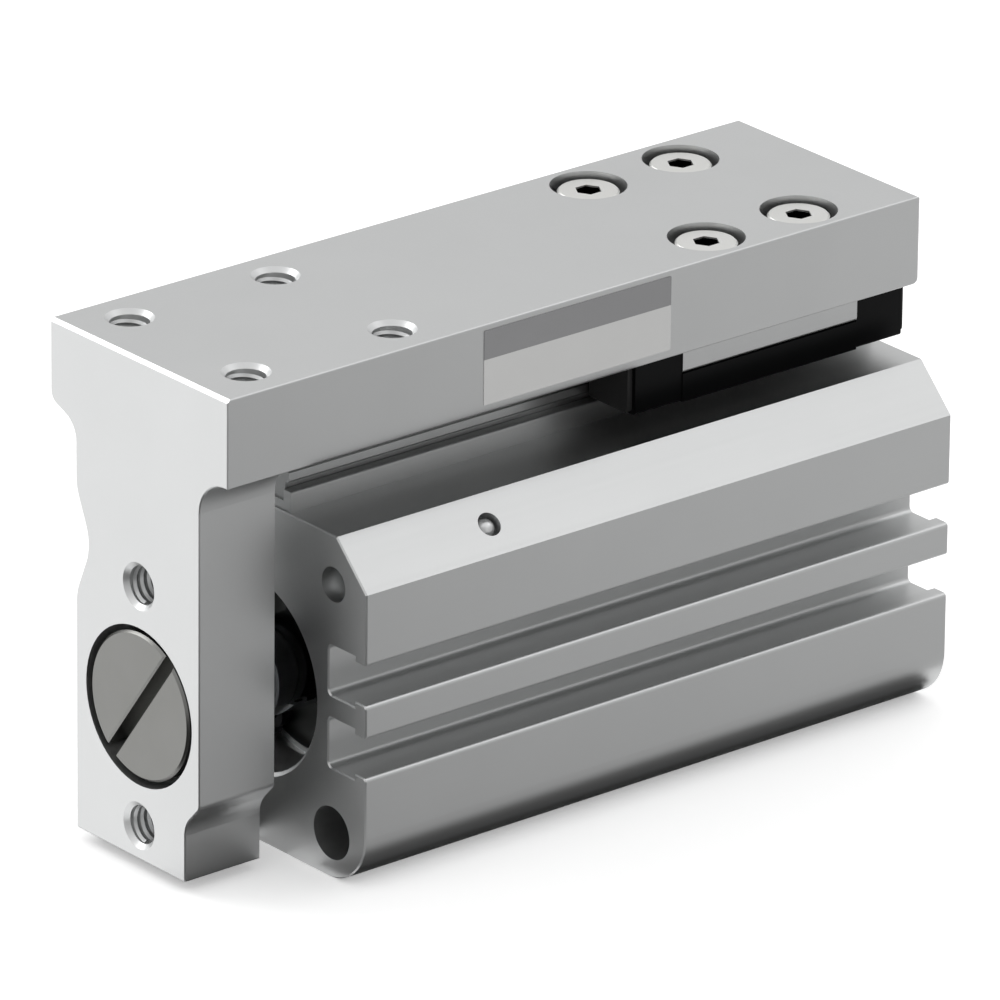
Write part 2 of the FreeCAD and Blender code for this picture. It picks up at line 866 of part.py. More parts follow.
def make_piston_rod():
    """Rod with a riveted spigot in the piston, spanner flats and a tapped front end."""
    head_rear = piston_rear + spigot_head_inset
    tap_rear = rod_front - rod_screw_thread_length - rod_tap_spare
    tap_radius = rod_screw_thread_radius + seat_clearance
    rod = turned_x([
        (head_rear, 0.0),
        (head_rear, spigot_head_radius),
        (head_rear + spigot_head_length, spigot_head_radius),
        (head_rear + spigot_head_length, spigot_radius),
        (piston_front, spigot_radius),
        (piston_front, rod_radius),
        (rod_front - rod_edge_break, rod_radius),
        (rod_front, rod_radius - rod_edge_break),
        (rod_front, tap_radius),
        (tap_rear, tap_radius),
        (tap_rear - tap_radius / math.tan(drill_point_angle / 2), 0.0),
    ])
    flat_rear = rod_front - spanner_flat_length
    below = axis_height - rod_diameter
    above = axis_height + rod_diameter
    flats = []
    for side in (-1, 1):
        y_from, y_to = sorted((side * spanner_flats / 2, side * rod_diameter))
        flats.append(box(flat_rear, rod_front, y_from, y_to, below, above))
    return rod.cut(flats)


def make_rod_end_screw():
    """Slotted shoulder screw: its head floats in the end plate, its thread holds the rod."""
    front = rod_screw_seat + rod_screw_head_height
    edge = rod_screw_edge_break
    tip = rod_front - rod_screw_thread_length
    screw = turned_x([
        (tip, 0.0),
        (tip, rod_screw_thread_radius - edge),
        (tip + edge, rod_screw_thread_radius),
        (rod_front, rod_screw_thread_radius),
        (rod_front, rod_screw_shoulder_radius),
        (rod_screw_seat, rod_screw_shoulder_radius),
        (rod_screw_seat, rod_screw_head_radius),
        (front - edge, rod_screw_head_radius),
        (front, rod_screw_head_radius - edge),
        (front, 0.0),
    ])
    reach = rod_screw_pocket_radius
    half_slot = rod_screw_slot_width / 2
    bevel = rod_screw_slot_bevel
    half_section = [
        (front - rod_screw_slot_depth, half_slot),
        (front - bevel, half_slot),
        (front + overshoot, half_slot + bevel + overshoot),
    ]
    section = half_section + [(x, -half) for x, half in reversed(half_section)]
    corners = [Vector(x, -reach, axis_height + half) for x, half in section]
    slot = Part.Face(Part.makePolygon(corners + corners[:1])).extrude(Vector(0, 2 * reach, 0))
    slot.rotate(Vector(0, 0, axis_height), Vector(1, 0, 0), rod_screw_slot_angle)
    return screw.cut(slot)


def end_plate_outline():
    """Front view of the table and its end plate, with room for the endwise bolt heads."""
    half = table_width / 2
    left = -plate_left_reach
    right = plate_right_reach
    foot = plate_foot_reach
    return [
        (half, table_top, table_edge_break),
        (-half, table_top, table_edge_break),
        (-half, shoulder_top, table_underside_radius),
        (left, shoulder_foot, plate_shoulder_radius),
        (left, hollow_middle_height + hollow_half_height, hollow_radius),
        (left + hollow_depth, hollow_middle_height, hollow_radius),
        (left, hollow_middle_height - hollow_half_height, hollow_radius),
        (left, plate_bottom, table_edge_break),
        (foot, plate_bottom, table_edge_break),
        (foot, notch_height - notch_drop, notch_foot_radius),
        (right, notch_height, notch_top_radius),
        (right, table_bottom, plate_fillet),
        (half, table_bottom, table_edge_break),
    ]


def table_top_plate():
    """Flat part of the table, with a rounded rear end and the shoulder's slope along its left side."""
    half = table_width / 2
    slope = (shoulder_top - shoulder_foot) / (half - plate_left_reach)
    slope_end = -half + plate_shoulder_rise / slope
    plate = profile_x([
        (half, table_top, table_edge_break),
        (-half, table_top, table_edge_break),
        (-half, shoulder_top, table_underside_radius),
        (slope_end, table_bottom, 0.0),
        (half, table_bottom, table_edge_break),
    ], table_rear, plate_back)
    plan = rounded_face([
        (table_rear, half, table_rear_corner_radius),
        (table_rear, -half, table_rear_corner_radius),
        (plate_back, -half, 0.0),
        (plate_back, half, 0.0),
    ], lambda x, y: Vector(x, y, table_bottom))
    side = rounded_face([
        (table_rear, table_bottom, table_rear_foot_radius),
        (table_rear, table_top, table_rear_top_radius),
        (plate_back, table_top, 0.0),
        (plate_back, table_bottom, 0.0),
    ], lambda x, z: Vector(x, -half, z))
    plate = plate.common(plan.extrude(Vector(0, 0, table_thickness)))
    return plate.common(side.extrude(Vector(0, table_width, 0)))


def block_pocket():
    """Room under the table for the guide block, to be cut away."""
    half = block_width / 2 + pocket_side_clearance
    rear = table_rear - overshoot
    front = front_cap_front + wiper_thickness + pocket_front_gap
    plan = rounded_face([
        (rear, half, 0.0),
        (rear, -half, 0.0),
        (front, -half, pocket_corner_radius),
        (front, half, pocket_corner_radius),
    ], lambda x, y: Vector(x, y, table_bottom - overshoot))
    return plan.extrude(Vector(0, 0, block_top - table_bottom + overshoot))


def front_bevel():
    """Wedge that bevels the table's front top edge, to be cut away."""
    foot = table_top - table_front_bevel
    above = table_top + overshoot
    section = [
        (plate_front - table_front_bevel, table_top),
        (plate_front, foot),
        (plate_front + overshoot, foot),
        (plate_front + overshoot, above),
        (plate_front - table_front_bevel, above),
    ]
    corners = [Vector(x, -table_width, z) for x, z in section]
    return Part.Face(Part.makePolygon(corners + corners[:1])).extrude(Vector(0, 2 * table_width, 0))


def make_slide_table():
    """L-shaped table: top plate, end plate and a pocket below for the guide block."""
    end_plate = profile_x(end_plate_outline(), plate_back, plate_front)
    front_edges = edges_where(end_plate, lambda p: near(p.x, plate_front))
    end_plate = end_plate.makeChamfer(plate_edge_break, front_edges)
    table = table_top_plate().fuse(end_plate).removeSplitter()
    cuts = [block_pocket(), front_bevel()]
    screw_seat = table_top - m3_table_pocket_depth
    for x, y in block_screw_places():
        cuts.append(bar_z(m3_hole_radius, block_top - overshoot, table_top, x, y))
        cuts.append(bar_z(m3_table_pocket_radius, screw_seat, table_top + overshoot, x, y))
    for x, y in table_tap_places():
        cuts.append(drilled_hole(Vector(x, y, table_top), Vector(0, 0, -1), m4_tap_radius, table_tap_depth))
    for side in (-1, 1):
        height = axis_height + side * plate_tap_spacing / 2
        mouth = Vector(plate_front, 0, height)
        cuts.append(bar_x(m4_tap_radius, plate_back - overshoot, plate_front, 0, height))
        cuts.append(mouth_chamfer(mouth, Vector(-1, 0, 0), m4_tap_radius))
    cuts.append(bar_x(rod_screw_hole_radius, plate_back - overshoot, plate_front))
    cuts.append(bar_x(rod_screw_pocket_radius, rod_screw_seat, plate_front + overshoot))
    return table.cut(cuts)


def make_guide_block():
    """Steel part of the block: saddle over the rail with a ball track in each leg."""
    half = block_width / 2
    leg_outer = block_leg_inner + block_leg_thickness
    leg_bottom = block_bottom + block_leg_lift
    saddle = rail_top + block_rail_gap
    step_height = block_bottom + block_side_step
    block = profile_x(mirrored_outline([
        (block_leg_inner, saddle, block_edge_radius),
        (block_leg_inner, leg_bottom, 0.0),
        (leg_outer, leg_bottom, 0.0),
        (leg_outer, step_height, 0.0),
        (half, step_height, block_edge_radius),
        (half, block_top, block_top_edge_radius),
    ]), block_steel_rear, block_steel_front)
    tap_radius = m2_thread_radius + seat_clearance
    tap_depth = m2_grip + m2_tap_spare
    cuts = []
    for side in (-1, 1):
        y = side * ball_row_offset
        cuts.append(bar_x(ball_track_radius, block_steel_rear, block_steel_front, y, ball_track_z))
        for end, inward in ((block_steel_front, -1), (block_steel_rear, 1)):
            start = Vector(end, side * cap_screw_y, cap_screw_z)
            cuts.append(Part.makeCylinder(tap_radius, tap_depth, start, Vector(inward, 0, 0)))
    for x, y in block_screw_places():
        cuts.append(bar_z(m3_thread_radius + seat_clearance, block_top - block_tap_depth, block_top, x, y))
    return block.cut(cuts)


def straddling_plate(right_side, rear, front, hole_radius):
    """Plate that straddles the rail, with a hole for an end cap screw in each side."""
    plate = profile_x(mirrored_outline(right_side), rear, front)
    holes = [bar_x(hole_radius, rear, front, side * cap_screw_y, cap_screw_z) for side in (-1, 1)]
    return plate.cut(holes)


def end_cap(rear):
    """Resin end of the block, where the balls turn round."""
    half = block_width / 2 - cap_side_inset
    inner = rail_width / 2 + cap_rail_gap_side
    right_side = [
        (inner, rail_top + cap_rail_gap_top, cap_edge_radius),
        (inner, block_bottom, 0.0),
        (half, block_bottom, cap_edge_radius),
        (half, block_top - cap_top_inset, cap_corner_radius),
    ]
    return straddling_plate(right_side, rear, rear + block_resin_length, m2_hole_radius)


def make_front_end_cap():
    """Resin end towards the end plate."""
    return end_cap(block_steel_front)


def make_rear_end_cap():
    """Resin end at the rear."""
    return end_cap(rear_cap_rear)


def end_seal(rear):
    """Wiper plate on an end cap, with wide holes for the screw heads."""
    half = block_width / 2 - wiper_side_inset
    inner = rail_width / 2 + wiper_rail_gap
    bottom = block_bottom + wiper_bottom_inset
    right_side = [
        (inner, rail_top + wiper_rail_gap, cap_edge_radius),
        (inner, bottom, 0.0),
        (half, bottom, cap_edge_radius),
        (half, block_top - wiper_top_inset, cap_corner_radius),
    ]
    return straddling_plate(right_side, rear, rear + wiper_thickness, m2_head_radius + m2_head_clearance)


def make_front_end_seal():
    """Wiper towards the end plate."""
    return end_seal(front_cap_front)


def make_rear_end_seal():
    """Wiper at the rear."""
    return end_seal(rear_cap_rear - wiper_thickness)


def end_cap_screw(face, outward, y):
    """Slotted pan-head screw, its head on an end cap's face."""
    z = cap_screw_z
    start = Vector(face, y, z)
    along = Vector(outward, 0, 0)
    head = Part.makeCylinder(m2_head_radius, m2_head_height, start, along)
    shank = Part.makeCylinder(m2_thread_radius, block_resin_length + m2_grip, start, along * -1)
    top = face + outward * m2_head_height
    half_slot = m2_slot_width / 2
    x_from, x_to = sorted((top - outward * m2_slot_depth, top + outward * overshoot))
    slot = box(x_from, x_to, y - m2_head_radius, y + m2_head_radius, z - half_slot, z + half_slot)
    return head.fuse(shank).removeSplitter().cut(slot)


def make_end_cap_screws():
    """The two screws of each end cap."""
    screws = []
    for face, outward in ((front_cap_front, 1), (rear_cap_rear, -1)):
        for side in (-1, 1):
            screws.append(end_cap_screw(face, outward, side * cap_screw_y))
    return Part.makeCompound(screws)


def ball_return(side):
    """Resin strip along the block's lower side, with the channel that brings the balls back."""
    inner = block_leg_inner + block_leg_thickness + return_strip_play
    outer = block_width / 2
    bottom = block_bottom
    top = block_bottom + block_side_step - return_strip_play
    y_from, y_to = sorted((side * inner, side * outer))
    strip = box(block_steel_rear, block_steel_front, y_from, y_to, bottom, top)
    channel = bar_x(return_channel_radius, block_steel_rear, block_steel_front,
                    (y_from + y_to) / 2, (bottom + top) / 2)
    return strip.cut(channel)


def make_left_ball_return():
    """Strip on the -Y side."""
    return ball_return(-1)


def make_right_ball_return():
    """Strip on the +Y side."""
    return ball_return(1)


def make_guide_balls():
    """Loaded balls between rail and block, one row in each side."""
    run = block_steel_length - 4 * ball_radius
    first = block_middle_x - run / 2
    pitch = run / (balls_per_row - 1)
    balls = []
    for side in (-1, 1):
        for index in range(balls_per_row):
            middle = Vector(first + pitch * index, side * ball_row_offset, ball_track_z)
            balls.append(Part.makeSphere(ball_radius, middle))
    return Part.makeCompound(balls)


pieces = {
    "cylinder_body": make_cylinder_body,
    "guide_rail": make_guide_rail,
    "rail_screws": make_rail_screws,
    "rod_cover": make_rod_cover,
    "rod_bush": make_rod_bush,
    "rod_seal": make_rod_seal,
    "rod_cover_o_ring": make_rod_cover_o_ring,
    "rod_cover_retaining_ring": make_rod_cover_retaining_ring,
    "rod_bumper": make_rod_bumper,
    "head_cover": make_head_cover,
    "head_cover_o_ring": make_head_cover_o_ring,
    "head_cover_retaining_ring": make_head_cover_retaining_ring,
    "head_bumper": make_head_bumper,
    "passage_plug_balls": make_passage_plug_balls,
    "slide_table": make_slide_table,
    "guide_block": make_guide_block,
    "front_end_cap": make_front_end_cap,
    "rear_end_cap": make_rear_end_cap,
    "front_end_seal": make_front_end_seal,
    "rear_end_seal": make_rear_end_seal,
    "end_cap_screws": make_end_cap_screws,
    "left_ball_return": make_left_ball_return,
    "right_ball_return": make_right_ball_return,
    "guide_balls": make_guide_balls,
    "block_screws": make_block_screws,
    "piston_rod": make_piston_rod,
    "piston": make_piston,
    "piston_seal": make_piston_seal,
    "piston_magnet": make_piston_magnet,
    "wear_ring": make_wear_ring,
    "rod_end_screw": make_rod_end_screw,
}

os.makedirs("parts", exist_ok=True)
for name, make in pieces.items():
    make().exportStep(os.path.join("parts", name + ".step"))
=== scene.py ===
"""Looks of a compact air slide table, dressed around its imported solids.

Lengths are in metres unless a name ends in _mm. +X points along the stroke towards the end
plate, +Y to the side that the label is on, +Z up, and the body stands on Z = 0.
"""

import json
import logging
import math
from collections.abc import Callable
from dataclasses import dataclass, field
from enum import Enum
from functools import cache
from typing import Any

import bmesh
import bpy
from mathutils import Matrix, Quaternion, Vector


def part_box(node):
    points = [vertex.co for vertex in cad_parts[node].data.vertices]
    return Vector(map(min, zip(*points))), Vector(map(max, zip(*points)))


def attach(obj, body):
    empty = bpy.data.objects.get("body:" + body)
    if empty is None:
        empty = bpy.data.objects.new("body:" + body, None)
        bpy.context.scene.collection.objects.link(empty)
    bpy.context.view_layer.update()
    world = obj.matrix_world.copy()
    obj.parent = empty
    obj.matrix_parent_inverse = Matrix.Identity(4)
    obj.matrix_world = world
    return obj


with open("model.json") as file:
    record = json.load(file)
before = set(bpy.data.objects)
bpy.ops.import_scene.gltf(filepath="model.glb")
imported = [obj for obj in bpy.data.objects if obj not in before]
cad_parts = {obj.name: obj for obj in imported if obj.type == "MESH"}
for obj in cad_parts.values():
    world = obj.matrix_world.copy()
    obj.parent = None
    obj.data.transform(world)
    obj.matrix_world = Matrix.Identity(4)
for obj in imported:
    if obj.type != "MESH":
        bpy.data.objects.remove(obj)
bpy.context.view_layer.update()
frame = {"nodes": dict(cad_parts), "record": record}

log = logging.getLogger("air_slide_table")

MM = 0.001

Colour = tuple[float, float, float, float]
Point = tuple[float, float, float]

UP: Point = (0.0, 0.0, 1.0)
WHITE: Colour = (1.0, 1.0, 1.0, 1.0)
PAPER_WHITE = "#F4F4F4"

# A direction runs along an axis when its share along it is over this
ALONG = 0.9
# Faces that meet at less than this are shaded as one
SMOOTH_ANGLE = math.radians(40)
# A Mix node takes two colours at these inputs, and gives their mix at this output
MIX_FIRST, MIX_SECOND, MIX_RESULT = 6, 7, 2


class Body(Enum):
    """The two bodies that a piece can ride on."""

    CYLINDER = "cylinder"
    TABLE = "table"


class Axis(Enum):
    """The axes of the part, each with its place in a point."""

    X = 0
    Y = 1
    Z = 2


class Element(Enum):
    """The parts of a mesh that are selected by a test."""

    EDGE = "EDGE"
    FACE = "FACE"


# Small tools for nodes, meshes and selections


def linear(hex_colour: str) -> Colour:
    """Turn an sRGB hex colour into linear light.

    Args:
        hex_colour: a colour such as "#C8C8C8".

    Returns:
        Linear red, green and blue, with an alpha of 1.
    """
    parts = [int(hex_colour[i:i + 2], 16) / 255 for i in (1, 3, 5)]
    light = [p / 12.92 if p <= 0.04045 else ((p + 0.055) / 1.055) ** 2.4 for p in parts]
    return (light[0], light[1], light[2], 1.0)


def per_metre(size_mm: float) -> float:
    """Scale of a noise whose spots are about this many millimetres wide."""
    return 1.0 / (size_mm * MM)


def band_scale(pitch_mm: float) -> float:
    """Scale of a wave texture, which turns 20 radians in a unit, for bands of this pitch."""
    return 2.0 * math.pi / (20.0 * pitch_mm * MM)


def add_node(
    tree: bpy.types.NodeTree,
    kind: str,
    settings: dict[str, Any] | None = None,
    inputs: dict[str | int, Any] | None = None,
) -> bpy.types.Node:
    """Add one node, set its properties, and fill or link its sockets.

    Args:
        tree: the node tree that takes the node.
        kind: Blender's name for the kind of node.
        settings: the node's properties by name.
        inputs: a value, or an output socket to link, by the input's name or number.

    Returns:
        The new node.
    """
    node = tree.nodes.new(kind)
    for name, value in (settings or {}).items():
        setattr(node, name, value)
    for name, value in (inputs or {}).items():
        if isinstance(value, bpy.types.NodeSocket):
            tree.links.new(value, node.inputs[name])
        else:
            node.inputs[name].default_value = value
    return node


def choose(piece: bpy.types.Object, kind: Element, test: Callable[[Vector, Vector], bool]) -> None:
    """In edit mode, select the edges or faces that pass a test, and nothing else.

    Args:
        piece: the object in edit mode.
        kind: whether edges or faces are selected.
        test: takes an element's middle and its direction, along an edge or out of a face.
    """
    bpy.ops.mesh.select_mode(type=kind.value)
    bpy.ops.mesh.select_all(action="DESELECT")
    mesh = bmesh.from_edit_mesh(piece.data)
    mesh.normal_update()
    if kind is Element.EDGE:
        for edge in mesh.edges:
            first, last = (v.co for v in edge.verts)
            edge.select_set(test((first + last) / 2, (last - first).normalized()))
    else:
        for face in mesh.faces:
            face.select_set(test(face.calc_center_median(), face.normal))
    bmesh.update_edit_mesh(piece.data)


def settle(piece: bpy.types.Object) -> None:
    """Put a piece's place, turn and size into its mesh."""
    bpy.ops.object.select_all(action="DESELECT")
    piece.select_set(True)
    bpy.context.view_layer.objects.active = piece
    bpy.ops.object.transform_apply(location=True, rotation=True, scale=True)


# Finishes


@dataclass(frozen=True)
class Finish:
    """A surface: its two tones, its range of gloss, and the relief that light catches.

    Attributes:
        name: the material's name, for what the real one is.
        light: sRGB hex of the paler tone.
        dark: sRGB hex of the darker tone.
        gloss: lowest and highest roughness.
        metallic: 1 for bare metal, 0 for plastics and films.
        specular: specular level of plastics and films.
        cloud_mm: width of the patches in which tone and gloss drift.
        relief_mm: depth of the relief.
        relief_share: strength of the relief, from 0 to 1.
    """

    name: str
    light: str
    dark: str
    gloss: tuple[float, float]
    metallic: float = 0.0
    specular: float = 0.5
    cloud_mm: float = 6.0
    relief_mm: float = 0.01
    relief_share: float = 0.2

    def relief(self, tree: bpy.types.NodeTree, place: bpy.types.NodeSocket) -> bpy.types.NodeSocket:
        """Height of the surface; each kind of finish has its own.

        Args:
            tree: the material's nodes.
            place: the Object coordinates.

        Returns:
            The socket that gives the height.
        """
        raise NotImplementedError

    def tone(self, tree: bpy.types.NodeTree, place: bpy.types.NodeSocket) -> bpy.types.NodeSocket:
        """Colour of the surface, drifting in patches between its two tones.

        Args:
            tree: the material's nodes.
            place: the Object coordinates.

        Returns:
            The socket that gives the colour.
        """
        cloud = add_node(tree, "ShaderNodeTexNoise", {}, {
            "Vector": place, "Scale": per_metre(self.cloud_mm), "Detail": 3.0,
        }).outputs["Fac"]
        return add_node(tree, "ShaderNodeMix", {"data_type": "RGBA"}, {
            "Factor": cloud, MIX_FIRST: linear(self.light), MIX_SECOND: linear(self.dark),
        }).outputs[MIX_RESULT]

    def material(self) -> bpy.types.Material:
        """Make the material.

        Returns:
            A principled surface with drifting tone and gloss and this finish's relief.
        """
        material = bpy.data.materials.new(self.name)
        material.use_nodes = True
        material.diffuse_color = linear(self.light)
        tree = material.node_tree
        place = add_node(tree, "ShaderNodeTexCoord").outputs["Object"]
        height = self.relief(tree, place)
        gloss = add_node(tree, "ShaderNodeMapRange", {}, {
            "Value": height, "To Min": self.gloss[0], "To Max": self.gloss[1],
        }).outputs["Result"]
        bump = add_node(tree, "ShaderNodeBump", {}, {
            "Strength": self.relief_share, "Distance": self.relief_mm * MM, "Height": height,
        }).outputs["Normal"]
        surface = tree.nodes["Principled BSDF"]
        surface.inputs["Metallic"].default_value = self.metallic
        surface.inputs["Specular IOR Level"].default_value = self.specular
        tree.links.new(self.tone(tree, place), surface.inputs["Base Color"])
        tree.links.new(gloss, surface.inputs["Roughness"])
        tree.links.new(bump, surface.inputs["Normal"])
        return material


@dataclass(frozen=True)
class GrainFinish(Finish):
    """An even grain, as blasting, a moulding tool or sintering leaves it.

    Attributes:
        grain_mm: width of a grain.
    """

    grain_mm: float = 0.25

    def relief(self, tree: bpy.types.NodeTree, place: bpy.types.NodeSocket) -> bpy.types.NodeSocket:
        """Grains of one size.

        Args:
            tree: the material's nodes.
            place: the Object coordinates.

        Returns:
            The socket that gives the height.
        """
        return add_node(tree, "ShaderNodeTexNoise", {}, {
            "Vector": place, "Scale": per_metre(self.grain_mm), "Detail": 2.0,
        }).outputs["Fac"]


@dataclass(frozen=True)
class DrawnFinish(Finish):
    """Fine straight lines along X, as an extrusion die or a grinding wheel leaves them.

    Attributes:
        line_mm: width of a line.
        stretch: how many times longer than wide a line is.
    """

    line_mm: float = 0.3
    stretch: float = 120.0

    def relief(self, tree: bpy.types.NodeTree, place: bpy.types.NodeSocket) -> bpy.types.NodeSocket:
        """Lines that run along X.

        Args:
            tree: the material's nodes.
            place: the Object coordinates.

        Returns:
            The socket that gives the height.
        """
        drawn = add_node(tree, "ShaderNodeMapping", {}, {
            "Vector": place, "Scale": (1.0 / self.stretch, 1.0, 1.0),
        }).outputs["Vector"]
        return add_node(tree, "ShaderNodeTexNoise", {}, {
            "Vector": drawn, "Scale": per_metre(self.line_mm), "Detail": 3.0,
        }).outputs["Fac"]


@dataclass(frozen=True)
class TurnedFinish(Finish):
    """Fine rings about an axis, as a lathe tool leaves them.

    Attributes:
        axis: the axis that the rings lie about.
        middle: a point on that axis.
        pitch_mm: distance from ring to ring.
        repeat: spacing of like pieces that share the finish, where there are several.
    """

    axis: Axis = Axis.X
    middle: Point = (0.0, 0.0, 0.0)
    pitch_mm: float = 0.2
    repeat: Point = (1.0, 1.0, 1.0)

    def relief(self, tree: bpy.types.NodeTree, place: bpy.types.NodeSocket) -> bpy.types.NodeSocket:
        """Rings about the axis of each piece.

        Args:
            tree: the material's nodes.
            place: the Object coordinates.

        Returns:
            The socket that gives the height.
        """
        centred = add_node(tree, "ShaderNodeMapping", {}, {
            "Vector": place, "Location": tuple(-c for c in self.middle),
        }).outputs["Vector"]
        own = add_node(tree, "ShaderNodeVectorMath", {"operation": "WRAP"}, {
            0: centred, 1: tuple(r / 2 for r in self.repeat), 2: tuple(-r / 2 for r in self.repeat),
        }).outputs["Vector"]
        return add_node(tree, "ShaderNodeTexWave", {
            "wave_type": "RINGS", "rings_direction": self.axis.name, "wave_profile": "SIN",
        }, {
            "Vector": own, "Scale": band_scale(self.pitch_mm), "Distortion": 0.6, "Detail": 1.0,
        }).outputs["Fac"]


@dataclass(frozen=True)
class SocketShadeFinish(TurnedFinish):
    """Screw steel with painted shade below its top: the socket and the side of the head are coloured
    near black.

    Attributes:
        face: height below which the painted shade is coloured.
        flank: sRGB hex of the painted shade in the socket and on the side of the head.
    """

    face: float = 0.0
    flank: str = "#161617"

    def tone(self, tree: bpy.types.NodeTree, place: bpy.types.NodeSocket) -> bpy.types.NodeSocket:
        """The finish's own tone above the face's height, painted shade below it.

        Args:
            tree: the material's nodes.
            place: the Object coordinates.

        Returns:
            The socket that gives the colour.
        """
        height = add_node(tree, "ShaderNodeSeparateXYZ", {}, {"Vector": place}).outputs["Z"]
        # Painted shade: 0 below the face's height, where the socket and the side of the head are
        # coloured dark
        unshaded = add_node(tree, "ShaderNodeMath", {"operation": "GREATER_THAN"}, {
            0: height, 1: self.face,
        }).outputs["Value"]
        return add_node(tree, "ShaderNodeMix", {"data_type": "RGBA"}, {
            "Factor": unshaded, MIX_FIRST: linear(self.flank), MIX_SECOND: super().tone(tree, place),
        }).outputs[MIX_RESULT]


@cache
def material_of(finish: Finish) -> bpy.types.Material:
    """The material of a finish, made once and shared by the pieces that wear it."""
    return finish.material()


# Driving places, taken from the frame


def mount(name: str) -> dict[str, Any]:
    """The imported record's entry for a mount."""
    return next(m for m in frame["record"]["mounts"] if m["name"] == name)


def middle_of(node: str) -> Point:
    """Middle of a solid's box."""
    low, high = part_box(node)
    return tuple((low + high) / 2)


ROD_AXIS = middle_of("piston_rod")
SCREW_MIDDLE = middle_of("block_screws")
SCREW_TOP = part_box("block_screws")[1].z
# Spacing of the four block screws along X and Y, and how far below their tops the painted shade
# starts
SCREW_SPACING = (10.0 * MM, 15.0 * MM)
SHADE_DEPTH = 0.15 * MM


# Real grain, lines and lathe rings are too fine for the render, so these are drawn coarser, to show


# Clear-anodised aluminium, blasted first: a pale, even metal with a dry, soft sheen
EXTRUDED_ALUMINIUM = DrawnFinish(
    name="clear_anodised_extruded_aluminium", light="#D3D4D4", dark="#CECFCF", gloss=(0.36, 0.44),
    metallic=1.0, cloud_mm=9.0, relief_mm=0.004, relief_share=0.10, line_mm=0.35, stretch=160.0,
)
MILLED_ALUMINIUM = GrainFinish(
    name="clear_anodised_blasted_aluminium", light="#D3D4D4", dark="#CECFCF", gloss=(0.36, 0.44),
    metallic=1.0, cloud_mm=8.0, relief_mm=0.006, relief_share=0.10, grain_mm=0.22,
)
# Turned and anodised aluminium: the same metal with lathe rings that catch the light
TURNED_ALUMINIUM = TurnedFinish(
    name="turned_anodised_aluminium", light="#D2D3D4", dark="#C8C9CA", gloss=(0.28, 0.38),
    metallic=1.0, relief_mm=0.01, relief_share=0.25, middle=ROD_AXIS, pitch_mm=0.25,
)
# Hard-anodised covers: the turned metal under a dark grey oxide
HARD_ANODISED = TurnedFinish(
    name="hard_anodised_turned_aluminium", light="#474847", dark="#3C3D3C", gloss=(0.34, 0.44),
    metallic=1.0, relief_mm=0.01, relief_share=0.2, middle=ROD_AXIS, pitch_mm=0.25,
)
# Ground and hardened steel: darker than aluminium, with fine lines along the rail
RAIL_STEEL = DrawnFinish(
    name="ground_rail_steel", light="#C2C3C3", dark="#B2B3B3", gloss=(0.24, 0.36),
    metallic=1.0, cloud_mm=5.0, relief_mm=0.006, relief_share=0.2, line_mm=0.15, stretch=200.0,
)
BLOCK_STEEL = DrawnFinish(
    name="ground_block_steel", light="#CFD0D0", dark="#C5C6C6", gloss=(0.30, 0.40),
    metallic=1.0, cloud_mm=5.0, relief_mm=0.005, relief_share=0.15, line_mm=0.15, stretch=200.0,
)
# Cap screw steel, bright and turned on top, with painted shade below the top that colours the socket
# and the side of the head near black
SCREW_STEEL = SocketShadeFinish(
    name="screw_steel_with_painted_socket_shade", light="#E8E8E6", dark="#DFDFDC", gloss=(0.40, 0.46),
    metallic=1.0, relief_mm=0.008, relief_share=0.08, axis=Axis.Z,
    middle=(SCREW_MIDDLE[0] + SCREW_SPACING[0] / 2, SCREW_MIDDLE[1] + SCREW_SPACING[1] / 2, 0.0),
    pitch_mm=0.22, repeat=(*SCREW_SPACING, 1.0), face=SCREW_TOP - SHADE_DEPTH,
)
# Satin stainless steel with lathe rings, on the face of the slotted screw
SLOTTED_STEEL = TurnedFinish(
    name="satin_turned_stainless_steel", light="#888886", dark="#7E7E7B", gloss=(0.28, 0.34),
    metallic=1.0, relief_mm=0.008, relief_share=0.08, middle=ROD_AXIS, pitch_mm=0.2,
)
# Hard chrome, ground and polished: a mirror with the faintest rings
CHROMED_ROD = TurnedFinish(
    name="hard_chromed_rod_steel", light="#D6D7D9", dark="#CDCED1", gloss=(0.08, 0.14),
    metallic=1.0, relief_mm=0.003, relief_share=0.15, middle=ROD_AXIS, pitch_mm=0.2,
)
# Phosphated spring steel: near black, with a dry grain
SPRING_STEEL = GrainFinish(
    name="phosphated_spring_steel", light="#4A4A4B", dark="#3A3A3B", gloss=(0.40, 0.55),
    metallic=1.0, cloud_mm=3.0, relief_mm=0.006, relief_share=0.2, grain_mm=0.15,
)
# Polished bearing steel: small bright mirrors
BALL_STEEL = GrainFinish(
    name="polished_bearing_steel", light="#C9CACB", dark="#C0C1C2", gloss=(0.08, 0.14),
    metallic=1.0, cloud_mm=2.0, relief_mm=0.001, relief_share=0.1, grain_mm=0.3,
)
# Pressed plug balls: the same steel, rubbed dull by the punch
PLUG_STEEL = GrainFinish(
    name="punched_plug_steel", light="#DCDDDD", dark="#D2D3D3", gloss=(0.30, 0.38),
    metallic=1.0, cloud_mm=2.0, relief_mm=0.002, relief_share=0.1, grain_mm=0.2,
)
# Glass-filled black resin: a deep black with a fine moulded grain
BLACK_RESIN = GrainFinish(
    name="moulded_black_resin", light="#08090A", dark="#060607", gloss=(0.46, 0.58),
    specular=0.12, cloud_mm=3.0, relief_mm=0.012, relief_share=0.25, grain_mm=0.2,
)
# Nitrile rubber: black and dull, with a soft bloom
BLACK_RUBBER = GrainFinish(
    name="moulded_nitrile_rubber", light="#232323", dark="#191919", gloss=(0.60, 0.75),
    cloud_mm=3.0, relief_mm=0.01, relief_share=0.2, grain_mm=0.18,
)
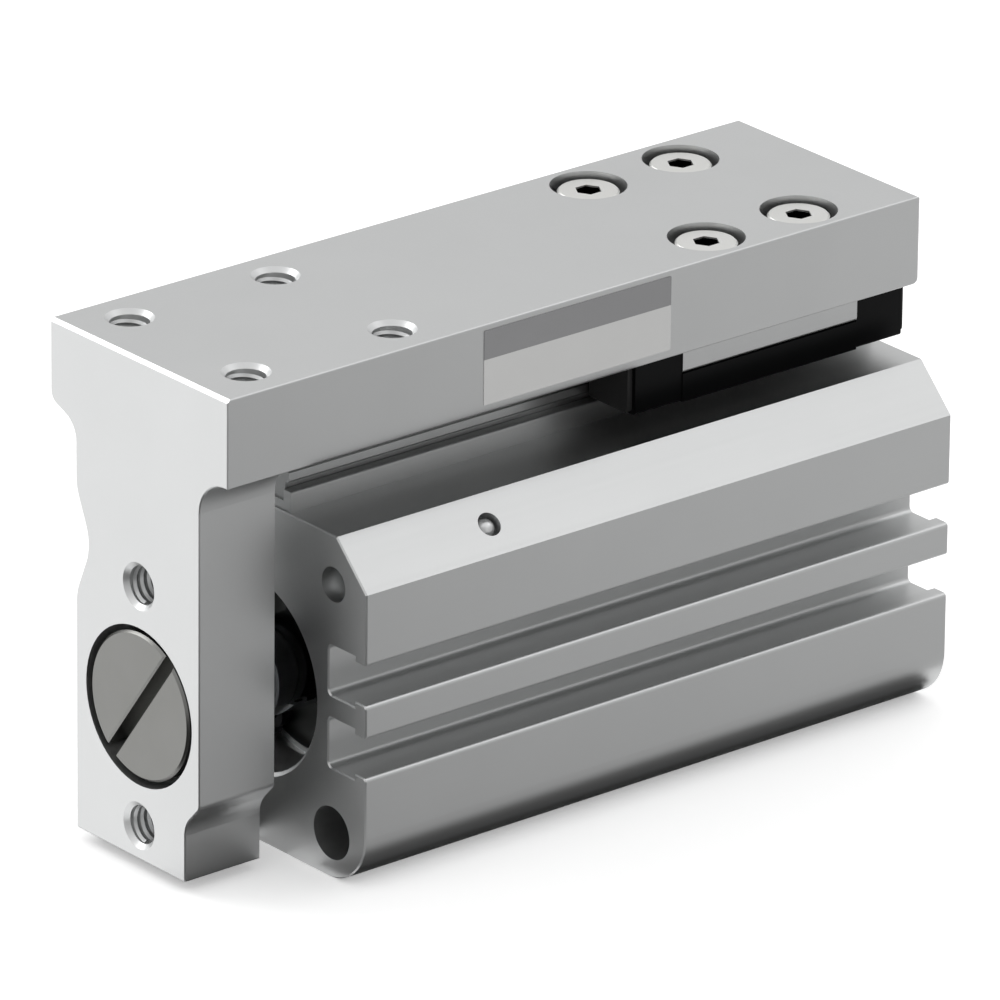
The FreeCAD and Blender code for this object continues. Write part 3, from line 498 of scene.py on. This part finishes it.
# Cast urethane: amber and slightly waxy
URETHANE = GrainFinish(
    name="cast_urethane", light="#B5905A", dark="#A5804A", gloss=(0.35, 0.50),
    cloud_mm=3.0, relief_mm=0.008, relief_share=0.15, grain_mm=0.3,
)
# Sintered, oil-filled bronze: warm metal with open pores
BUSH_BRONZE = GrainFinish(
    name="sintered_bush_bronze", light="#B99A6A", dark="#9E7F50", gloss=(0.32, 0.48),
    metallic=1.0, cloud_mm=1.5, relief_mm=0.02, relief_share=0.35, grain_mm=0.2,
)
# Plastic-bonded ferrite: dark grey and dull
MAGNET = GrainFinish(
    name="bonded_ferrite", light="#444446", dark="#343436", gloss=(0.50, 0.65),
    cloud_mm=2.0, relief_mm=0.01, relief_share=0.2, grain_mm=0.2,
)
# Filled guide resin: cream and smooth
WEAR_RESIN = GrainFinish(
    name="moulded_wear_ring_resin", light="#DCD2BE", dark="#CFC4AE", gloss=(0.40, 0.52),
    cloud_mm=3.0, relief_mm=0.006, relief_share=0.15, grain_mm=0.25,
)
# Polyester label film, printed in a grey band and left pale below: smooth, with a faint sheen
LABEL_PALE = GrainFinish(
    name="pale_polyester_label_film", light="#BABAB9", dark="#B5B5B4", gloss=(0.34, 0.42),
    cloud_mm=5.0, relief_mm=0.003, relief_share=0.15, grain_mm=0.3,
)
LABEL_GREY = GrainFinish(
    name="grey_printed_label_film", light="#808081", dark="#7A7A7B", gloss=(0.34, 0.42),
    cloud_mm=5.0, relief_mm=0.003, relief_share=0.15, grain_mm=0.3,
)


# Sub-assemblies


@dataclass
class SubAssembly:
    """Solids that come off the bench together, each with the finish that it wears.

    Attributes:
        name: what a fitter would call it.
        finishes: the finish of each solid.
    """

    name: str
    finishes: dict[str, Finish]

    def build(self) -> list[bpy.types.Object]:
        """Model the pieces that the solids lack; most sub-assemblies lack none."""
        return []

    def dress(self) -> None:
        """Give each solid the material of its finish."""
        for node, finish in self.finishes.items():
            for material_slot in frame["nodes"][node].material_slots:
                material_slot.material = material_of(finish)
            log.info("%s: %s wears %s", self.name, node, finish.name)


@dataclass(frozen=True)
class Tap:
    """A size of tapped hole.

    Attributes:
        radius: the hole's radius, as the tapping drill leaves it.
        pitch: rise of one turn.
        start: depth at which the thread begins, below the hole's mouth.
    """

    radius: float
    pitch: float
    start: float


M4_TAP = Tap(radius=1.65 * MM, pitch=0.7 * MM, start=0.8 * MM)
M5_PORT = Tap(radius=2.1 * MM, pitch=0.8 * MM, start=0.1 * MM)


@dataclass
class Thread:
    """The helical ridge inside a tapped hole.

    Attributes:
        name: name of the piece, with a number added for each hole.
        mount_name: the mount whose holes it lies in.
        body: the body that the holes are in.
        tap: the size of the holes.
        turns: number of turns.
        finish: the finish of the metal round the hole.
        slot: the record's slot for that metal; not used.
        crest: height of the ridge, as a share of the pitch.
        foot: stretch of the drawn triangle along the hole, as a share of the pitch.
        wall_gap: gap between the ridge and the hole's wall.
        steps: facets in one turn.
    """

    name: str
    mount_name: str
    body: Body
    tap: Tap
    turns: int
    finish: Finish
    slot: str = "anodised_aluminium"
    crest: float = 0.22
    foot: float = 0.42
    wall_gap: float = 0.01 * MM
    steps: int = 32

    def places(self) -> list[tuple[Vector, Vector]]:
        """Mouth and outward direction of each hole.

        Returns:
            One pair for each hole of the mount.
        """
        entry = mount(self.mount_name)
        middle = Vector(entry["pos_m"])
        outward = Vector(entry["axis"])
        sizes = entry["dims"]
        if entry["kind"] == "threaded_hole":
            return [(middle + outward * sizes["length_mm"] / 2 * MM, outward)]
        across = [a for a in Axis if abs(outward[a.value]) < ALONG]
        spacings = [sizes.get("spacing_x_mm", 0.0), sizes.get("spacing_y_mm", 0.0)]
        found = []
        for first in ((-0.5, 0.5) if spacings[0] else (0.0,)):
            for second in ((-0.5, 0.5) if spacings[1] else (0.0,)):
                mouth = middle.copy()
                mouth[across[0].value] += first * spacings[0] * MM
                mouth[across[1].value] += second * spacings[1] * MM
                found.append((mouth, outward))
        return found

    def model(self) -> bpy.types.Object:
        """Model one ridge upright at the origin, with its mouth at Z = 0.

        Returns:
            The ridge, as a closed helix of triangular section.
        """
        radius, pitch = self.tap.radius, self.tap.pitch
        height = self.crest * pitch
        # A triangle in a circle of radius 1 is this high, and its middle is a third of that up
        drawn_height = 1.5
        bpy.ops.object.select_all(action="DESELECT")
        upright = Matrix(((0, -1, 0), (0, 0, -1), (1, 0, 0))).to_euler()
        bpy.ops.mesh.primitive_circle_add(
            vertices=3, radius=1.0, rotation=upright,
            location=(radius - self.wall_gap - height / 3, 0.0, -self.tap.start - self.turns * pitch),
        )
        ridge = bpy.context.object
        ridge.scale = (self.foot * pitch, height / drawn_height, 1.0)
        settle(ridge)
        bpy.ops.object.modifier_add(type="SCREW")
        screw = ridge.modifiers[-1]
        screw.axis = "Z"
        screw.screw_offset = pitch
        screw.iterations = self.turns
        screw.steps = self.steps
        screw.render_steps = self.steps
        bpy.ops.object.modifier_apply(modifier=screw.name)
        bpy.ops.object.mode_set(mode="EDIT")
        bpy.ops.mesh.select_all(action="SELECT")
        bpy.ops.mesh.fill_holes(sides=3)
        bpy.ops.mesh.normals_make_consistent(inside=False)
        bpy.ops.object.mode_set(mode="OBJECT")
        bpy.ops.object.shade_smooth_by_angle(angle=SMOOTH_ANGLE)
        return ridge

    def build(self) -> list[bpy.types.Object]:
        """Copy the ridge into each hole.

        Returns:
            The ridges, one for each hole.
        """
        ridge = self.model()
        made = []
        for number, (mouth, outward) in enumerate(self.places(), 1):
            copy = ridge.copy()
            copy.data = ridge.data.copy()
            bpy.context.collection.objects.link(copy)
            copy.name = f"{self.name}_{number}"
            turn = Vector(UP).rotation_difference(outward)
            copy.matrix_world = Matrix.Translation(mouth) @ turn.to_matrix().to_4x4()
            settle(copy)
            copy.data.materials.append(material_of(self.finish))
            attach(copy, self.body.value)
            made.append(copy)
        bpy.data.objects.remove(ridge)
        return made


@dataclass
class Label:
    """The blank film label on the table's +Y side, with a grey band above a pale one.

    Attributes:
        front: its end towards the end plate, along X.
        rear: its other end.
        low: its lower edge, below the table's top.
        split: the edge between the bands, below the table's top.
        high: its upper edge, below the table's top.
        thickness: thickness of the film.
        corner: radius of its corners.
        corner_facets: facets in each corner.
    """

    front: float = 16.34 * MM
    rear: float = -3.37 * MM
    low: float = 6.97 * MM
    split: float = 3.05 * MM
    high: float = 0.52 * MM
    thickness: float = 0.06 * MM
    corner: float = 0.10 * MM
    corner_facets: int = 5

    def build(self) -> bpy.types.Object:
        """Model the film and colour its two bands.

        Returns:
            The label, stuck to the table.
        """
        table_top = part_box("slide_table")[1].z
        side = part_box("slide_table")[1].y
        low, split, high = (table_top - depth for depth in (self.low, self.split, self.high))
        bpy.ops.object.select_all(action="DESELECT")
        bpy.ops.mesh.primitive_cube_add(size=1.0)
        film = bpy.context.object
        film.name = "blank_label"
        film.location = ((self.front + self.rear) / 2, side + self.thickness / 2, (low + high) / 2)
        film.scale = (self.front - self.rear, self.thickness, high - low)
        settle(film)
        bpy.ops.object.mode_set(mode="EDIT")
        choose(film, Element.EDGE, lambda middle, along: abs(along.y) > ALONG)
        bpy.ops.mesh.bevel(offset=self.corner, segments=self.corner_facets, affect="EDGES")
        choose(film, Element.FACE, lambda middle, out: out.y > ALONG)
        bpy.ops.mesh.inset(thickness=self.thickness / 2, depth=0.0)
        bpy.ops.mesh.select_all(action="SELECT")
        bpy.ops.mesh.bisect(plane_co=(0.0, 0.0, split), plane_no=UP)
        bpy.ops.object.mode_set(mode="OBJECT")
        for finish in (LABEL_PALE, LABEL_GREY):
            film.data.materials.append(material_of(finish))
        for face in film.data.polygons:
            face.material_index = int(face.center.z > split)
        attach(film, Body.TABLE.value)
        return film


@dataclass
class CylinderUnit(SubAssembly):
    """The body with its covers, seals and passage plugs.

    Attributes:
        turns: turns of thread in each of its open tapped holes.
    """

    name: str = "cylinder unit"
    finishes: dict[str, Finish] = field(default_factory=lambda: {
        "cylinder_body": EXTRUDED_ALUMINIUM,
        "rod_cover": HARD_ANODISED,
        "rod_bush": BUSH_BRONZE,
        "rod_seal": BLACK_RUBBER,
        "rod_cover_o_ring": BLACK_RUBBER,
        "rod_cover_retaining_ring": SPRING_STEEL,
        "rod_bumper": URETHANE,
        "head_cover": HARD_ANODISED,
        "head_cover_o_ring": BLACK_RUBBER,
        "head_cover_retaining_ring": SPRING_STEEL,
        "head_bumper": URETHANE,
        "passage_plug_balls": PLUG_STEEL,
    })
    turns: int = 5

    def build(self) -> list[bpy.types.Object]:
        """Cut the threads of the base holes and the air ports.

        Returns:
            The thread ridges.
        """
        made = []
        for holes, mount_name, tap in (
            ("base_tap", "base_taps", M4_TAP),
            ("rod_side_port", "rod_side_port", M5_PORT),
            ("head_side_port", "head_side_port", M5_PORT),
        ):
            made += Thread(
                name=holes + "_thread", mount_name=mount_name, body=Body.CYLINDER,
                tap=tap, turns=self.turns, finish=EXTRUDED_ALUMINIUM,
            ).build()
        return made


@dataclass
class RailUnit(SubAssembly):
    """The rail and the screws that hold it."""

    name: str = "rail"
    finishes: dict[str, Finish] = field(default_factory=lambda: {
        "guide_rail": RAIL_STEEL,
        "rail_screws": SPRING_STEEL,
    })


@dataclass
class GuideBlock(SubAssembly):
    """The ball-guided block with its end caps, wipers and ball returns."""

    name: str = "guide block"
    finishes: dict[str, Finish] = field(default_factory=lambda: {
        "guide_block": BLOCK_STEEL,
        "front_end_cap": BLACK_RESIN,
        "rear_end_cap": BLACK_RESIN,
        "front_end_seal": BLACK_RUBBER,
        "rear_end_seal": BLACK_RUBBER,
        "end_cap_screws": SPRING_STEEL,
        "left_ball_return": BLACK_RESIN,
        "right_ball_return": BLACK_RESIN,
        "guide_balls": BALL_STEEL,
    })


@dataclass
class SlideTable(SubAssembly):
    """The table with its end plate, the screws through it, its tapped holes and its label.

    Attributes:
        table_turns: turns of thread in each tapped hole of the top.
        plate_turns: turns of thread in each tapped hole of the end plate.
        label: the film on its side.
    """

    name: str = "slide table"
    finishes: dict[str, Finish] = field(default_factory=lambda: {
        "slide_table": MILLED_ALUMINIUM,
        "block_screws": SCREW_STEEL,
    })
    table_turns: int = 7
    plate_turns: int = 8
    label: Label = field(default_factory=Label)

    def build(self) -> list[bpy.types.Object]:
        """Cut the threads of the tapped holes and stick the label on.

        Returns:
            The thread ridges and the label.
        """
        made = []
        for holes, mount_name, turns in (
            ("table_tap", "table_taps", self.table_turns),
            ("plate_tap", "plate_taps", self.plate_turns),
        ):
            made += Thread(
                name=holes + "_thread", mount_name=mount_name, body=Body.TABLE,
                tap=M4_TAP, turns=turns, finish=MILLED_ALUMINIUM,
            ).build()
        return [*made, self.label.build()]


@dataclass
class PistonUnit(SubAssembly):
    """The rod, the piston with its rings, and the slotted screw that ties them to the plate."""

    name: str = "piston and rod"
    finishes: dict[str, Finish] = field(default_factory=lambda: {
        "piston_rod": CHROMED_ROD,
        "piston": TURNED_ALUMINIUM,
        "piston_seal": BLACK_RUBBER,
        "piston_magnet": MAGNET,
        "wear_ring": WEAR_RESIN,
        "rod_end_screw": SLOTTED_STEEL,
    })


# Studio


@dataclass(frozen=True)
class Lamp:
    """One soft box.

    Attributes:
        name: where it stands.
        toward: direction from the part to the lamp.
        distance: how far off it is.
        size: side of its square.
        power: light that it gives, in watts.
    """

    name: str
    toward: Point
    distance: float
    size: float
    power: float

    def build(self, aim: Vector) -> None:
        """Hang the lamp and turn it to the part.

        Args:
            aim: the point that it shines at.
        """
        toward = Vector(self.toward).normalized()
        bpy.ops.object.light_add(type="AREA", location=aim + toward * self.distance)
        lamp = bpy.context.object
        lamp.name = self.name
        lamp.rotation_euler = toward.to_track_quat("Z", "Y").to_euler()
        lamp.data.size = self.size
        lamp.data.energy = self.power


@dataclass(frozen=True)
class Card:
    """A glowing grey sheet that the camera doesn't see and the metal does; it gives no light to matt
    surfaces and casts no shadow, and the dark ones near the part are painted shade.

    Attributes:
        name: where it stands.
        middle: its middle.
        facing: direction that it faces.
        size: width and height.
        grey: its tone, as sRGB hex.
        level: how many times brighter than that it is.
        far_grey: the tone that it drifts to, where it has two.
        drift: the places along X where the drift starts and ends.
    """

    name: str
    middle: Point
    facing: Point
    size: tuple[float, float]
    grey: str
    level: float = 1.0
    far_grey: str | None = None
    drift: tuple[float, float] = (0.0, 1.0)

    def build(self) -> None:
        """Set the card up."""
        bpy.ops.object.select_all(action="DESELECT")
        bpy.ops.mesh.primitive_plane_add(size=1.0)
        card = bpy.context.object
        card.name = self.name
        card.location = self.middle
        card.rotation_euler = Vector(self.facing).to_track_quat("Z", "Y").to_euler()
        card.scale = (*self.size, 1.0)
        settle(card)
        card.visible_camera = False
        card.visible_diffuse = False
        card.visible_shadow = False
        paper = bpy.data.materials.new(self.name)
        paper.use_nodes = True
        tree = paper.node_tree
        glow = add_node(tree, "ShaderNodeEmission", {}, {
            "Color": linear(self.grey), "Strength": self.level,
        })
        if self.far_grey:
            place = add_node(tree, "ShaderNodeTexCoord").outputs["Object"]
            across = add_node(tree, "ShaderNodeSeparateXYZ", {}, {"Vector": place}).outputs["X"]
            share = add_node(tree, "ShaderNodeMapRange", {}, {
                "Value": across, "From Min": self.drift[0], "From Max": self.drift[1],
            }).outputs["Result"]
            tone = add_node(tree, "ShaderNodeMix", {"data_type": "RGBA"}, {
                "Factor": share, MIX_FIRST: linear(self.grey), MIX_SECOND: linear(self.far_grey),
            }).outputs[MIX_RESULT]
            tree.links.new(tone, glow.inputs["Color"])
        tree.links.new(glow.outputs["Emission"], tree.nodes["Material Output"].inputs["Surface"])
        card.data.materials.append(paper)


@dataclass
class Studio:
    """White floor, soft lamps, grey cards, and the camera at the photograph's angle.

    Attributes:
        aim: the point that the camera looks at.
        azimuth: the camera's direction round the part, in degrees.
        elevation: its height above the horizon, in degrees.
        roll: its turn about its own line of sight, in degrees.
        distance: from the aim to the camera.
        lens_mm: focal length on a 36 mm sensor.
        far_clip: how far the camera sees.
        ambient: the world's light on matt surfaces.
        floor_lift: light added to the floor where it is seen, so that white paper is white.
        floor_size: side of the floor.
        floor_drop: how far the floor lies below the part, so that they share no plane.
        lamps: the soft boxes.
        cards: the grey cards.
    """

    aim: Point = (5.05 * MM, 0.14 * MM, 22.97 * MM)
    azimuth: float = 140.128
    elevation: float = 22.372
    roll: float = 0.606
    distance: float = 1.00718
    lens_mm: float = 441.28
    far_clip: float = 100.0
    ambient: float = 0.96
    floor_lift: float = 0.32
    floor_size: float = 6.0
    floor_drop: float = 0.02 * MM
    lamps: tuple[Lamp, ...] = (
        Lamp("key_lamp", toward=(0.38, -0.71, 0.59), distance=1.2, size=0.6, power=3.0),
        Lamp("top_lamp", toward=(-0.59, 0.38, 0.71), distance=1.2, size=0.6, power=0.45),
    )
    cards: tuple[Card, ...] = (
        # Large cards behind the part and beside the label
        Card("rear_card", (-0.30, -0.36, 0.16), (0.59, 0.71, -0.3), (0.5, 0.4), "#DEDEDE"),
        # Painted shadow of the part on the floor beside the label, seen only in reflections: darker
        # at its end towards the end plate, paler towards the rear
        Card(
            "side_painted_shadow_card", (-0.1835, 0.2265, 0.0005), UP, (0.453, 0.42), "#A8A8A8",
            far_grey="#D2D2D2", drift=(0.03, -0.10),
        ),
        Card("side_backdrop", (-0.27, 0.33, 0.13), (0.593, -0.71, -0.1), (0.7, 0.34), "#CCCCCC"),
        # Painted contact shade on the floor under the rounded bottom edge, seen only in its
        # reflection
        Card("edge_shade_card", (0.0, 0.0156, 0.0006), UP, (0.0625, 0.0034), "#424242"),
        Card("edge_core_shade_card", (0.0, 0.0102, 0.0001), UP, (0.0625, 0.0074), "#060606"),
        # Painted shade beside the rail and the block, under the table's edge, seen only in
        # reflections
        Card("rail_shade_flag", (0.0165, 0.0122, 0.0351), (0.0, -1.0, 0.0), (0.034, 0.0034), "#080808"),
        Card("block_shade_flag", (-0.0142, 0.0111, 0.0317), (0.0, -1.0, 0.0), (0.0304, 0.0032), "#040404"),
        # Large cards on the far side and before the end plate
        Card("left_card", (-0.23, -0.2355, 0.0005), UP, (0.44, 0.44), "#D0D0D0"),
        Card("front_card", (0.215, -0.173, 0.0005), UP, (0.344, 0.35), "#FFFFFF", level=1.2),
        # Painted shade on the floor under the end plate, in the gap behind it and beside its foot,
        # seen only in reflections
        Card("gap_shade_card", (0.0386, -0.0035, 0.0006), UP, (0.0082, 0.023), "#303030"),
        Card("gap_far_shade_card", (0.0329, -0.0073, 0.0006), UP, (0.003, 0.0154), "#181818"),
        # A paler patch among them: painted light, seen in reflections on the lower corner of the
        # body's front face
        Card("corner_light_card", (0.0328, 0.0028, 0.0001), UP, (0.003, 0.004), "#A8A8A8"),
        Card(
            "foot_shade_card", (0.0374, 0.0123, 0.0001), UP, (0.0106, 0.0084), "#262626",
            far_grey="#6C6C6C", drift=(0.0325, 0.0400),
        ),
        # Large cards on the camera's side
        Card("camera_card", (0.30, 0.36, 0.22), (-0.593, -0.71, -0.3), (0.52, 0.5), "#C4C4C4"),
        # Its end near the part is dark: painted shade, seen in reflections on the body's front face
        # beside the end plate; it pales further off
        Card(
            "camera_floor_shade_card", (0.2665, 0.254, 0.0005), UP, (0.447, 0.498), "#404040",
            far_grey="#C8C8C8", drift=(0.09, 0.14),
        ),
    )

    def seen(self, tree: bpy.types.NodeTree) -> bpy.types.NodeSocket:
        """Whether a ray comes from the camera, or through or off something shiny.

        Args:
            tree: the nodes of the floor or the world.

        Returns:
            A socket that gives 1 for such a ray and 0 for any other.
        """
        path = add_node(tree, "ShaderNodeLightPath").outputs
        shiny = add_node(tree, "ShaderNodeMath", {"operation": "MAXIMUM"}, {
            0: path["Is Glossy Ray"], 1: path["Is Transmission Ray"],
        }).outputs["Value"]
        return add_node(tree, "ShaderNodeMath", {"operation": "MAXIMUM"}, {
            0: path["Is Camera Ray"], 1: shiny,
        }).outputs["Value"]

    def build_world(self) -> None:
        """Make the surroundings: white to look at, dimmer as a light."""
        world = bpy.data.worlds.new("white_studio")
        world.use_nodes = True
        tree = world.node_tree
        level = add_node(tree, "ShaderNodeMapRange", {}, {
            "Value": self.seen(tree), "To Min": self.ambient, "To Max": 1.0,
        }).outputs["Result"]
        background = tree.nodes["Background"]
        background.inputs["Color"].default_value = WHITE
        tree.links.new(level, background.inputs["Strength"])
        bpy.context.scene.world = world

    def build_floor(self) -> None:
        """Lay the white paper that the part stands on; it keeps the part's shadow."""
        bpy.ops.object.select_all(action="DESELECT")
        bpy.ops.mesh.primitive_plane_add(size=self.floor_size, location=(0.0, 0.0, -self.floor_drop))
        floor = bpy.context.object
        floor.name = "paper_floor"
        settle(floor)
        paper = bpy.data.materials.new("white_paper")
        paper.use_nodes = True
        tree = paper.node_tree
        lift = add_node(tree, "ShaderNodeMath", {"operation": "MULTIPLY"}, {
            0: self.seen(tree), 1: self.floor_lift,
        }).outputs["Value"]
        surface = tree.nodes["Principled BSDF"]
        surface.inputs["Base Color"].default_value = linear(PAPER_WHITE)
        surface.inputs["Roughness"].default_value = 1.0
        surface.inputs["Specular IOR Level"].default_value = 0.0
        surface.inputs["Emission Color"].default_value = WHITE
        tree.links.new(lift, surface.inputs["Emission Strength"])
        floor.data.materials.append(paper)

    def build_camera(self) -> None:
        """Set the camera up at the photograph's angle."""
        turn, rise = math.radians(self.azimuth), math.radians(self.elevation)
        back = Vector((
            math.sin(turn) * math.cos(rise), -math.cos(turn) * math.cos(rise), math.sin(rise),
        ))
        bpy.ops.object.camera_add(location=Vector(self.aim) + back * self.distance)
        camera = bpy.context.object
        rolled = Quaternion(UP, math.radians(self.roll))
        camera.rotation_euler = ((-back).to_track_quat("-Z", "Y") @ rolled).to_euler()
        camera.data.lens = self.lens_mm
        camera.data.clip_end = self.far_clip
        bpy.context.scene.camera = camera

    def build(self) -> None:
        """Set the whole studio up."""
        bpy.context.scene.view_settings.view_transform = "Standard"
        self.build_world()
        self.build_floor()
        for card in self.cards:
            card.build()
        for lamp in self.lamps:
            lamp.build(Vector(self.aim))
        self.build_camera()


def main() -> None:
    """Build and dress each sub-assembly, then set up the studio."""
    logging.basicConfig(level=logging.INFO, format="%(message)s")
    for unit in (CylinderUnit(), RailUnit(), GuideBlock(), SlideTable(), PistonUnit()):
        for piece in unit.build():
            log.info("%s: made %s, %d faces", unit.name, piece.name, len(piece.data.polygons))
        unit.dress()
    Studio().build()


if __name__ == "__main__":
    main()
